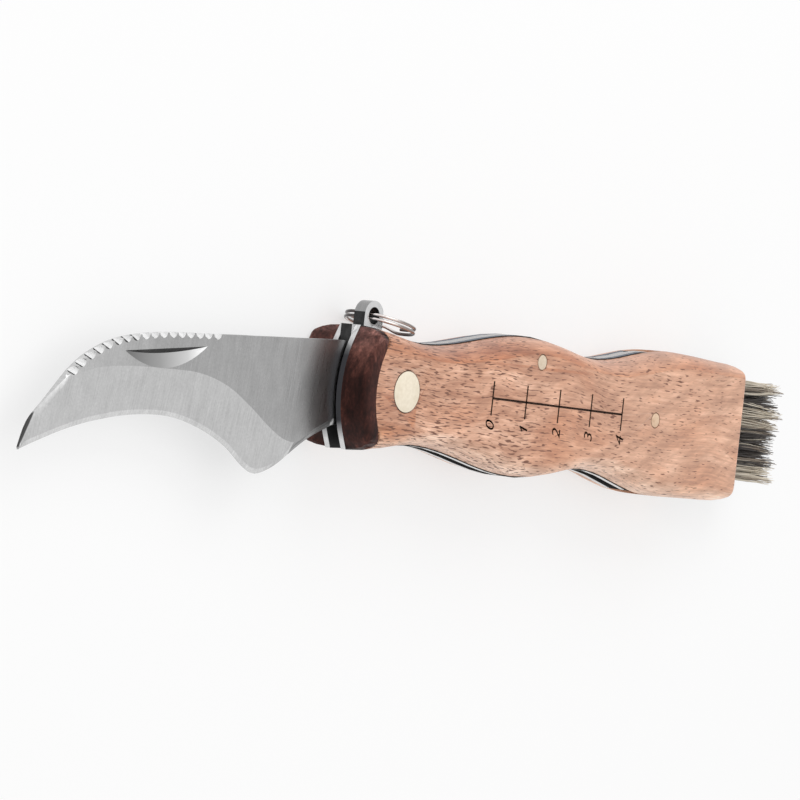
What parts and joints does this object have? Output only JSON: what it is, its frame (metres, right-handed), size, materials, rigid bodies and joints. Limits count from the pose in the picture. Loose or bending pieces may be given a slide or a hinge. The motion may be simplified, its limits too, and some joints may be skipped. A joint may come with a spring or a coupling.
{
  "type": "mushroom knife",
  "caption": "Folding mushroom knife with a hooked serrated-back blade, steel-lined wooden handle, ruler side, key ring and a bristle brush in the butt.",
  "frame": {"origin": "on the blade pivot's axis, at the flat outer face of the far pivot cap, which is flush with the far scale", "axes": "+X along the handle from the pivot to the brush, +Y towards the knife's back, +Z through the thickness towards the near scale"},
  "size_m": [0.2087, 0.0304, 0.016],
  "materials": {
    "blade_steel": "satin stainless steel, brushed along",
    "bright_steel": "polished stainless sheet",
    "pin_steel": "plain steel wire",
    "ring_steel": "bright sprung wire",
    "washer_brass": "plain",
    "light_wood": "pinkish tan hardwood, waxed, open brown pores",
    "dark_wood": "dark red-brown hardwood, waxed",
    "block_wood": "plain wood",
    "cream_cap": "flush cream discs",
    "natural_bristle": "mixed off-white, grey-brown and dark hair"
  },
  "bodies": {
    "handle": {"back_spring": "bright_steel", "near_liner": "bright_steel", "far_liner": "bright_steel", "near_scale": "light_wood", "far_scale": "light_wood", "near_bolster": "dark_wood", "far_bolster": "dark_wood", "butt_spacer": "block_wood", "pivot_pin": "pin_steel", "near_pivot_cap": "cream_cap", "far_pivot_cap": "cream_cap", "near_washer": "washer_brass", "far_washer": "washer_brass", "spring_pin": "pin_steel", "near_spring_plug": "cream_cap", "far_spring_plug": "cream_cap", "rear_pin": "pin_steel", "near_rear_plug": "cream_cap", "far_rear_plug": "cream_cap", "brush_block": "block_wood", "bristles": "natural_bristle"},
    "blade": {"blade": "blade_steel"},
    "key_ring": {"split_ring": "ring_steel"}
  },
  "joints": [
    {"name": "blade_fold", "type": "hinge", "parent": "handle", "child": "blade", "pos_m": [0, 0, 0.008], "axis": [0, 0, 1], "range_deg": [0, 162]},
    {"name": "ring_swing", "type": "hinge", "parent": "handle", "child": "key_ring", "pos_m": [-0.0023, 0.012, 0.008], "axis": [0, 0, 1], "range_deg": [0, 150]}
  ]
}
